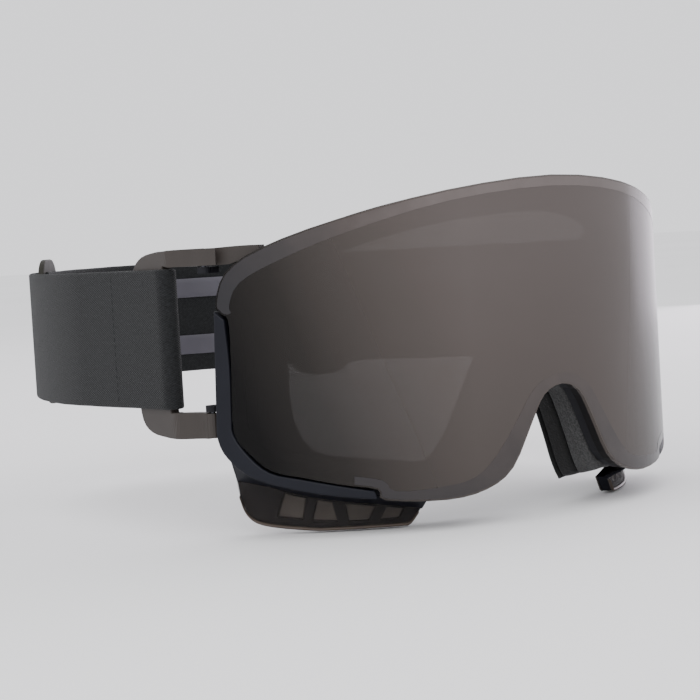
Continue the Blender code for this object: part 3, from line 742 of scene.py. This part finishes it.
def strip(name, stations, section, look, side=-1, columns=STRAP_COLUMNS, ripple=0.0, seams=()):
    """A strip along stations, with rounded edges and a layout in metres along and across for its weave. The
    section is its thickness, lowest height and highest height."""
    thick, low, high = section
    profile = strip_profile(thick, low, high, columns)
    around = [0.0]
    for a, b in zip(profile, profile[1:]):
        around.append(around[-1] + hypot(b[0] - a[0], b[1] - a[1]))
    build = bmesh.new()
    rings = []
    for point, inward, at in stations:
        sway = ripple * sum(share * sin(at * rate + start) for share, rate, start in EDGE_WAVES)
        ring = []
        for offset, z in profile:
            spot = point - inward * offset
            height = z + sway * (z - STRAP_MIDDLE) / RIPPLE_REACH
            ring.append(build.verts.new(placed(-side * spot.x, spot.y, height)))
        rings.append(ring)
    layout = build.loops.layers.uv.new("layout")
    size = len(profile)
    for number, (ring, following) in enumerate(zip(rings, rings[1:])):
        near, far = stations[number][2] * MM, stations[number + 1][2] * MM
        for k in range(size):
            j = (k + 1) % size
            face = build.faces.new((ring[k], ring[j], following[j], following[k]))
            low_v = around[k] * MM
            high_v = (around[k + 1] if k + 1 < size else around[k] + thick / 2) * MM
            spots = ((near, low_v), (near, high_v), (far, high_v), (far, low_v))
            for loop, spot in zip(face.loops, spots):
                loop[layout].uv = spot
    build.faces.new(list(reversed(rings[0])))
    build.faces.new(rings[-1])
    for point, inward, at in seams:
        sew(build, point, inward, section, side)
    return made(name, build, look)


def sew(build, point, inward, section, side):
    """A row of stitches up both faces of a strip."""
    thick, low, high = section
    tall = high - low - 2 * STITCH_MARGIN
    count = int(tall / STITCH_PITCH)
    for face in (-1, 1):
        outward = inward * face
        spot = point + outward * thick / 2
        for k in range(count + 1):
            z = low + STITCH_MARGIN + tall * (k + 0.5) / (count + 1)
            stitch(build, placed(-side * spot.x, spot.y, z), Vector((-side * outward.x, outward.y, 0)))


def stitch(build, centre, outward):
    """One sewing stitch: a short thread, round at its ends, half sunk in the webbing."""
    along = Vector((outward.y, -outward.x, 0))
    around = [2 * pi * j / THREAD_SIDES for j in range(THREAD_SIDES)]
    rings = []
    for k in range(THREAD_STEPS + 1):
        turn = pi * k / THREAD_STEPS
        middle = centre + Vector((0, 0, -cos(turn) * STITCH_LENGTH / 2 * MM))
        girth = STITCH_WIDTH / 2 * MM * max(THREAD_TIP, sin(turn)) ** 0.5
        rings.append([build.verts.new(middle + (along * cos(angle) + outward * sin(angle)) * girth)
                      for angle in around])
    for ring, following in zip(rings, rings[1:]):
        for j in range(THREAD_SIDES):
            k = (j + 1) % THREAD_SIDES
            build.faces.new((ring[j], ring[k], following[k], following[j]))
    build.faces.new(list(reversed(rings[0])))
    build.faces.new(rings[-1])


def follow_outrigger(piece, node):
    """A strap piece keeps its place with its transform applied, in place of the plain solid named."""
    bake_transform(piece)
    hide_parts(node)


def build_webbing(loop, look):
    """The back strap, and the side straps folded round the outriggers."""
    section = (STRAP_THICK, STRAP_LOW, STRAP_HIGH)
    reach = SLIDER_PLACE + STRAP_OVERLAP
    back = shifted(between(loop, -reach, reach), INNER_OFFSET)
    piece = strip("webbing_back", back, section, look, ripple=STRAP_RIPPLE)
    settle(piece, "frame", "strap", "strap_back")
    outer = between(loop, -loop[-1][2] / 2, -(SLIDER_PLACE - STRAP_OVERLAP))
    side_line = resample(fold_route() + [tuple(point) for point, inward, at in outer], SIDE_STEP)
    seams = [nearest(side_line, -STRAP_HALF_WIDTH, STITCH_Y)]
    for side_name, side in SIDES.items():
        piece = strip("webbing_" + side_name, side_line, section, look, side, ripple=STRAP_RIPPLE,
                      seams=seams)
        follow_outrigger(piece, "strap_" + side_name)


def build_grips(loop, look):
    """Two silicone strips inside the back strap and inside each side strap."""
    offset = STRAP_THICK / 2 + GRIP_THICK / 2 + GRIP_CLEAR
    inside = SLIDER_PLACE - SLIDER_LENGTH / 2 - GRIP_BACK_END
    middle = shifted(between(loop, -inside, inside), INNER_OFFSET + offset)
    front = -loop[-1][2] / 2 + GRIP_FRONT_END
    ends = shifted(between(loop, front, -SLIDER_PLACE - STRAP_OVERLAP - GRIP_SIDE_END), offset)
    for level, place in (("upper", 1), ("lower", -1)):
        low = STRAP_MIDDLE + place * GRIP_OFFSET - GRIP_WIDTH / 2
        section = (GRIP_THICK, low, low + GRIP_WIDTH)
        piece = strip(f"silicone_{level}_back", middle, section, look, columns=GRIP_COLUMNS)
        settle(piece, "frame", "grip", f"grip_{level}_back")
        for side_name, side in SIDES.items():
            piece = strip(f"silicone_{level}_{side_name}", ends, section, look, side, GRIP_COLUMNS)
            follow_outrigger(piece, f"grip_{level}_{side_name}")


def cushioned(name, node, edge, look):
    """A foam or fleece layer: the plain solid's mesh with soft round edges and an uneven, pored surface."""
    build = bmesh.new()
    build.from_mesh(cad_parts[node].data)
    bmesh.ops.remove_doubles(build, verts=build.verts, dist=MERGE_DISTANCE)
    bmesh.ops.join_triangles(build, faces=build.faces, angle_face_threshold=radians(PAD_JOIN_FACE_ANGLE),
                             angle_shape_threshold=radians(PAD_JOIN_SHAPE_ANGLE))
    thing = made(name, build, look, smooth=False)
    round_edges = thing.modifiers.new("round", "BEVEL")
    round_edges.width = edge
    round_edges.segments = PAD_EDGE_SEGMENTS
    round_edges.limit_method = "ANGLE"
    round_edges.angle_limit = radians(PAD_EDGE_ANGLE)
    refine = thing.modifiers.new("refine", "SUBSURF")
    refine.levels = PAD_REFINE_LEVELS
    refine.render_levels = PAD_REFINE_LEVELS
    cloud = bpy.data.textures.new(name + "_cells", "CLOUDS")
    cloud.noise_scale = PAD_CELLS
    uneven = thing.modifiers.new("uneven", "DISPLACE")
    uneven.texture = cloud
    uneven.strength = PAD_UNEVENNESS
    uneven.mid_level = 0.5
    apply_changes(thing)
    return thing


def apply_changes(thing):
    """Turns an object's modifiers into its mesh."""
    bpy.context.view_layer.update()
    solved = thing.evaluated_get(bpy.context.evaluated_depsgraph_get())
    mesh = bpy.data.meshes.new_from_object(solved)
    thing.modifiers.clear()
    thing.data = mesh
    for face in mesh.polygons:
        face.use_smooth = True


def build_pads(looks):
    """The face seal's three layers and the gasket between the lenses."""
    for name, node, slot, edge, body, fill in PADS:
        piece = cushioned(name, node, edge, looks[slot])
        settle(piece, body, slot, node)


def area_light(name, energy, size, place, colour=(1, 1, 1), height=None):
    """A soft light aimed at the goggles: square, or a rectangle where its height is given."""
    lamp = bpy.data.lights.new(name, "AREA")
    lamp.energy = energy
    lamp.color = colour
    lamp.size = size
    if height:
        lamp.shape = "RECTANGLE"
        lamp.size_y = height
    thing = bpy.data.objects.new(name, lamp)
    bpy.context.scene.collection.objects.link(thing)
    thing.location = place
    thing.rotation_euler = (Vector(LIGHT_TARGET) - Vector(place)).to_track_quat("-Z", "Y").to_euler()


def build_studio():
    """A pale floor and soft lights; the far right one gives the lens its bright far edge."""
    build = bmesh.new()
    bmesh.ops.create_grid(build, x_segments=1, y_segments=1, size=FLOOR_HALF_SIZE)
    paper = Surface("floor_paper", 0.9)
    where = paper.coordinates()
    paper.colour(paper.ramp(paper.noise(where, scale=2.0), [(0.3, srgb("f2f2f2")), (0.7, srgb("f6f6f6"))]))
    floor = made("floor", build, paper.material, smooth=False)
    floor.location = (0, 0, FLOOR_HEIGHT)
    world = bpy.data.worlds.new("studio")
    world.use_nodes = True
    world.node_tree.nodes["Background"].inputs["Color"].default_value = WORLD_COLOUR
    world.node_tree.nodes["Background"].inputs["Strength"].default_value = WORLD_STRENGTH
    bpy.context.scene.world = world
    area_light("key", energy=11.0, size=1.2, place=(-1.0, -0.95, 0.8))
    area_light("far_edge", energy=9.0, size=0.9, place=(1.1, 0.35, 0.35), colour=(0.97, 0.87, 1.0),
               height=1.4)
    area_light("fill", energy=1.5, size=0.9, place=(-1.2, 0.3, 0.6))


def build_camera():
    """The camera, from its place, azimuth, dip and roll."""
    camera = bpy.data.cameras.new("camera")
    camera.lens = CAMERA_LENS
    camera.sensor_width = CAMERA_SENSOR
    camera.clip_start = CAMERA_NEAR
    forward = Vector((sin(CAMERA_AZIMUTH) * cos(CAMERA_DIP), cos(CAMERA_AZIMUTH) * cos(CAMERA_DIP),
                      -sin(CAMERA_DIP)))
    level = Vector((cos(CAMERA_AZIMUTH), -sin(CAMERA_AZIMUTH), 0))
    upright = level.cross(forward)
    right = level * cos(CAMERA_ROLL) + upright * sin(CAMERA_ROLL)
    up = upright * cos(CAMERA_ROLL) - level * sin(CAMERA_ROLL)
    turned = Matrix((right, up, -forward)).transposed().to_4x4()
    thing = bpy.data.objects.new("camera", camera)
    thing.matrix_world = Matrix.Translation(CAMERA_PLACE) @ turned
    bpy.context.scene.collection.objects.link(thing)
    bpy.context.scene.camera = thing


build_camera()
LOOKS = make_looks()
dress(LOOKS)
build_lens(LOOKS)
build_vent_covers(LOOKS)
build_fairings(LOOKS)
STRAP_LOOP = resample(route(), LOOP_STEP)
build_webbing(STRAP_LOOP, LOOKS["strap"])
build_grips(STRAP_LOOP, LOOKS["grip"])
build_pads(LOOKS)
build_studio()
